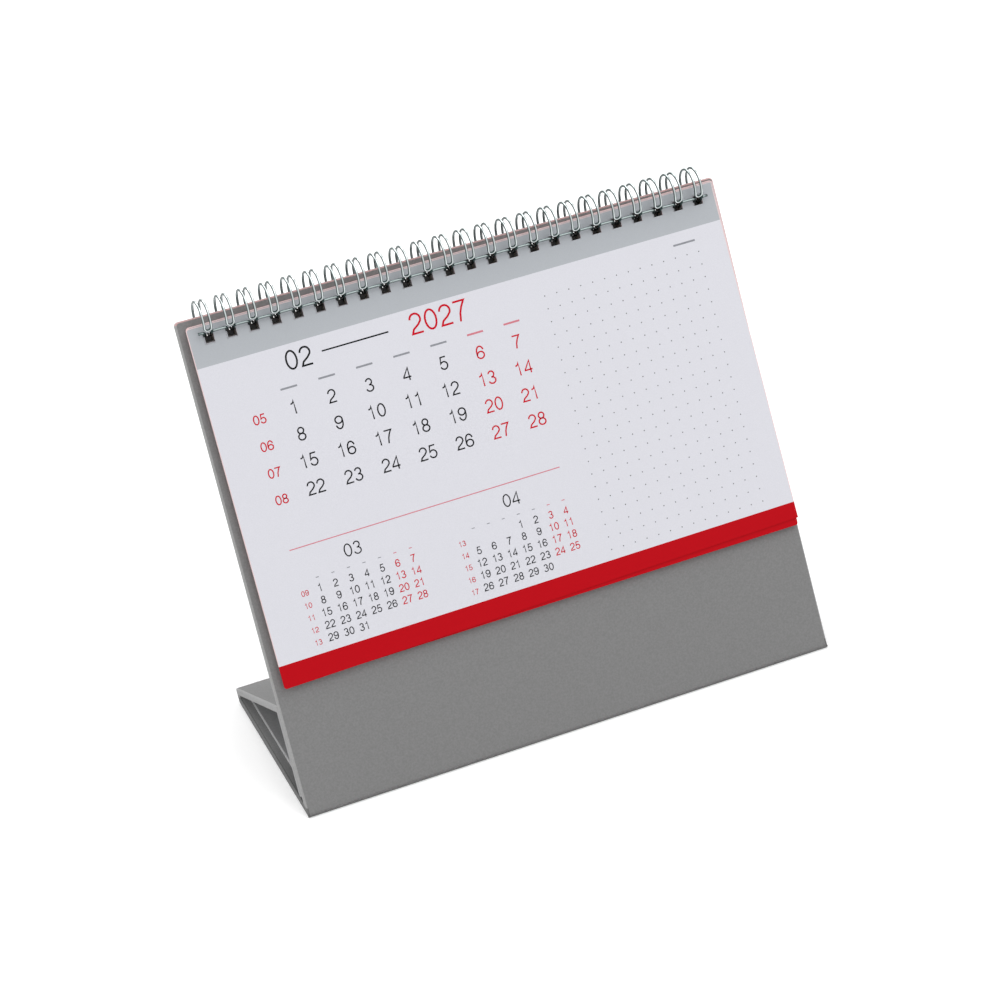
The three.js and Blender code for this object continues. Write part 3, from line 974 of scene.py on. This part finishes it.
# %% The path laid flat
WIRE_RADIUS = 0.475 * MM
RING_RADIUS = 6.5 * MM
RING_RISE = 6.5 * MM
RING_HEIGHT = HOLE_HEIGHT + RING_RISE
RING_DEPTH = 0.4 * MM
SPINE_BEND = 0.9 * MM
SPINE_END = 2.4 * MM
SPINE_ANGLE = math.radians(-50)
TIP_ANGLE = math.radians(-44 - 360)
SPINE_WAY = SPINE_ANGLE * RING_RADIUS
TIP_WAY = TIP_ANGLE * RING_RADIUS + HALF_LEG
LEG_STEPS = 48
BEND_STEPS = 6
TIP_STEPS = 12


def one_loop():
    """One loop of the flat path: down the left leg, round the tip and back up the right leg."""
    start = SPINE_WAY - SPINE_BEND
    left_leg = []
    for step in range(BEND_STEPS + 1):
        turn = math.pi / 2 * step / BEND_STEPS
        left_leg.append((-HALF_LEG - SPINE_BEND * (1 - math.sin(turn)), start + SPINE_BEND * math.cos(turn)))
    for step in range(1, LEG_STEPS + 1):
        left_leg.append((-HALF_LEG, start + (TIP_WAY - start) * step / LEG_STEPS))
    tip = []
    for step in range(1, TIP_STEPS):
        turn = math.pi * step / TIP_STEPS
        tip.append((-HALF_LEG * math.cos(turn), TIP_WAY - HALF_LEG * math.sin(turn)))
    right_leg = [(-x, way) for x, way in reversed(left_leg)]
    return left_leg + tip + right_leg


def flat_path():
    path = [(loop_x(0) - HALF_LEG - SPINE_END, SPINE_WAY)]
    for loop in range(LOOPS):
        path += [(x + loop_x(loop), way) for x, way in one_loop()]
    path.append((loop_x(LOOPS - 1) + HALF_LEG + SPINE_END, SPINE_WAY))
    return path


def rolled(x, way):
    angle = way / RING_RADIUS
    depth = RING_DEPTH - RING_RADIUS * math.cos(angle)
    height = RING_HEIGHT + RING_RADIUS * math.sin(angle)
    return LEANING @ Vector((x, depth, height))


# %% The wire as a piece
wire_curve = bpy.data.curves.new("wire", "CURVE")
wire_curve.dimensions = "3D"
wire_curve.bevel_depth = WIRE_RADIUS
wire_curve.bevel_resolution = 3
wire_curve.use_fill_caps = True
points = [rolled(x, way) for x, way in flat_path()]
spline = wire_curve.splines.new("POLY")
spline.points.add(len(points) - 1)
for point, place in zip(spline.points, points):
    point.co = (*place, 1)
wire_holder = bpy.data.objects.new("wire", wire_curve)
bpy.context.scene.collection.objects.link(wire_holder)
bpy.context.view_layer.update()
evaluated_wire = wire_holder.evaluated_get(bpy.context.evaluated_depsgraph_get())
wire_mesh = bpy.data.meshes.new_from_object(evaluated_wire)
bpy.data.objects.remove(wire_holder)

wire_bm = bmesh.new()
wire_bm.from_mesh(wire_mesh)
bmesh.ops.remove_doubles(wire_bm, verts=wire_bm.verts[:], dist=SAME_SPOT)
bmesh.ops.recalc_face_normals(wire_bm, faces=wire_bm.faces[:])
for face in wire_bm.faces:
    face.smooth = True
RING_MIDDLE = LEANING @ Vector((0, RING_DEPTH, RING_HEIGHT))
DOWN_SLOPE = LEANING.to_3x3() @ Vector((0, 0, -1))
FORWARD = LEANING.to_3x3() @ Vector((0, -1, 0))
HOLE_SPAN = math.cos(math.radians(44))
HOLE_SHADE = 0.2
SPINE_SHADE = 0.93
LEG_REACH = HALF_LEG + WIRE_RADIUS + TOUCH
# The tone is painted light: a painted highlight where the wire faces out from its ring, facing forward on the
# dimmer spine, and painted shade where it passes the holes.
painted_gleam_layer = wire_bm.verts.layers.float.new("tone")
wire_bm.normal_update()
for vert in wire_bm.verts:
    out = vert.co - RING_MIDDLE
    out.x = 0
    out.normalize()
    shade = HOLE_SHADE if out.dot(DOWN_SLOPE) > HOLE_SPAN else 1
    if min(abs(vert.co.x - loop_x(loop)) for loop in range(LOOPS)) > LEG_REACH:
        shade = SPINE_SHADE
        out = FORWARD
    vert[painted_gleam_layer] = abs(vert.normal.dot(out)) * shade
piece_from(
    wire_bm, "binding_wire", Matrix.Identity(4), [silver_wire], "binding", ["wire_binding"]
)

# %% [markdown]
# ## Floor, light and camera
# The calendar stands on a white sweep. A floor that is only white paint would look grey next to the page,
# so for camera rays it also glows a little, just enough to reach white where no shadow falls. A large
# soft lamp stands high at the right, a smaller one behind the calendar and a weak one at the left, and
# the world fills the rest.

# %% Floor
FLOOR_SIZE = 6.0
FLOOR_LEVEL = -0.2 * MM
FLOOR_WHITE = (0.82, 0.82, 0.82)
FLOOR_GLOW = 0.28


def seen_ray(holder):
    """1 for what is seen directly, in metal or through glass, and 0 for the rays that light the object."""
    nodes = holder.node_tree.nodes
    links = holder.node_tree.links
    path = nodes.new("ShaderNodeLightPath")
    either = math_node(holder, "MAXIMUM")
    any_seen = math_node(holder, "MAXIMUM")
    links.new(path.outputs["Is Camera Ray"], either.inputs[0])
    links.new(path.outputs["Is Glossy Ray"], either.inputs[1])
    links.new(either.outputs[0], any_seen.inputs[0])
    links.new(path.outputs["Is Transmission Ray"], any_seen.inputs[1])
    return any_seen.outputs[0]


def white_sweep():
    material, shader = new_material("white_sweep", FLOOR_WHITE, roughness=0.9)
    links = material.node_tree.links
    glow = math_node(material, "MULTIPLY", FLOOR_GLOW)
    links.new(seen_ray(material), glow.inputs[0])
    shader.inputs["Emission Color"].default_value = (1, 1, 1, 1)
    links.new(glow.outputs[0], shader.inputs["Emission Strength"])
    return material


floor_bm = bmesh.new()
bmesh.ops.create_grid(floor_bm, x_segments=1, y_segments=1, size=FLOOR_SIZE / 2)
floor_mesh = bpy.data.meshes.new("floor")
floor_bm.to_mesh(floor_mesh)
floor_bm.free()
floor_mesh.materials.append(white_sweep())
floor = bpy.data.objects.new("floor", floor_mesh)
bpy.context.scene.collection.objects.link(floor)
floor.location.z = FLOOR_LEVEL

# %% Lamps and world
KEY_PLACE = Vector((0.7, -0.2, 1.6))
KEY_SIZE = 1.3
KEY_POWER = 13
RIM_PLACE = Vector((-0.2, 1.1, 1.2))
RIM_SIZE = 0.8
RIM_POWER = 10
FILL_PLACE = Vector((-1.4, -0.2, 0.8))
FILL_SIZE = 1.2
FILL_POWER = 6
WORLD_LIGHT = 0.6


def soft_lamp(name, place, size, power):
    lamp = bpy.data.lights.new(name, "AREA")
    lamp.size = size
    lamp.energy = power
    holder = bpy.data.objects.new(name, lamp)
    holder.location = place
    holder.rotation_euler = (-place).to_track_quat("-Z", "Y").to_euler()
    bpy.context.scene.collection.objects.link(holder)


soft_lamp("key_lamp", KEY_PLACE, KEY_SIZE, KEY_POWER)
soft_lamp("rim_lamp", RIM_PLACE, RIM_SIZE, RIM_POWER)
soft_lamp("fill_lamp", FILL_PLACE, FILL_SIZE, FILL_POWER)

world = bpy.data.worlds.new("studio")
bpy.context.scene.world = world
world.use_nodes = True
background = world.node_tree.nodes["Background"]
background.inputs["Color"].default_value = (1, 1, 1, 1)
strength = world.node_tree.nodes.new("ShaderNodeMapRange")
strength.inputs["To Min"].default_value = WORLD_LIGHT
strength.inputs["To Max"].default_value = 1.0
world.node_tree.links.new(seen_ray(world), strength.inputs["Value"])
world.node_tree.links.new(strength.outputs["Result"], background.inputs["Strength"])

# %% Camera
CAMERA_PLACE = Vector((-319.98, -828.27, 674.4)) * MM
CAMERA_TURN = Euler((math.radians(56.1917), math.radians(4.1221), math.radians(-23.41)), "XYZ")
CAMERA_LENS = 104.086
SENSOR_WIDTH = 36
NEAR_CLIP = 0.01

camera_data = bpy.data.cameras.new("camera")
camera_data.lens = CAMERA_LENS
camera_data.sensor_width = SENSOR_WIDTH
camera_data.clip_start = NEAR_CLIP
camera = bpy.data.objects.new("camera", camera_data)
camera.location = CAMERA_PLACE
camera.rotation_euler = CAMERA_TURN
bpy.context.scene.collection.objects.link(camera)
bpy.context.scene.camera = camera
bpy.context.scene.view_settings.view_transform = "Standard"
